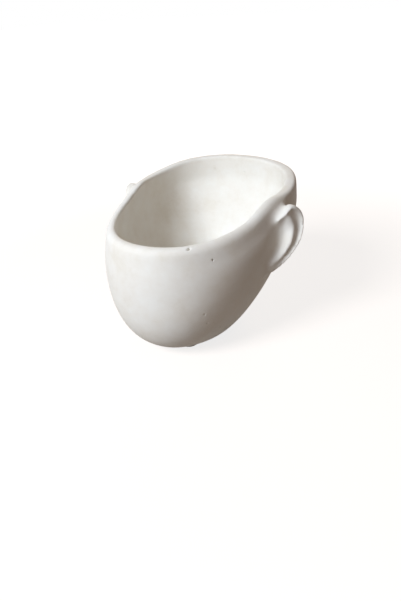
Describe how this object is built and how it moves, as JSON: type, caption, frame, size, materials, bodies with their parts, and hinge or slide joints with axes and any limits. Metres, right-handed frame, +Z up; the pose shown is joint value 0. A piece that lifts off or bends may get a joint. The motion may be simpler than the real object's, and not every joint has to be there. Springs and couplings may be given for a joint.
{
  "type": "planter",
  "caption": "Small head-form plant pot in white cast concrete, with a plain front, a scooped rim, cast ears, a drain hole with a pull-out rubber plug, and rubber foot pads.",
  "frame": {"origin": "on the table, under the middle of the pot's outline", "axes": "+X to the head form's own left, -Y to its front, +Z up"},
  "size_m": [0.1608, 0.162, 0.111],
  "materials": {
    "white_concrete": "matte, smooth cast",
    "plug_rubber": "satin moulded",
    "pad_rubber": "matte moulded"
  },
  "bodies": {
    "pot": {"planter_shell": "white_concrete", "foot_pad_front_left": "pad_rubber", "foot_pad_front_right": "pad_rubber", "foot_pad_back_left": "pad_rubber", "foot_pad_back_right": "pad_rubber"},
    "plug": {"drain_plug": "plug_rubber"}
  },
  "joints": [
    {"name": "plug_lift", "type": "slide", "parent": "pot", "child": "plug", "axis": [0, 0, 1], "range_m": [0, 0.12]}
  ]
}
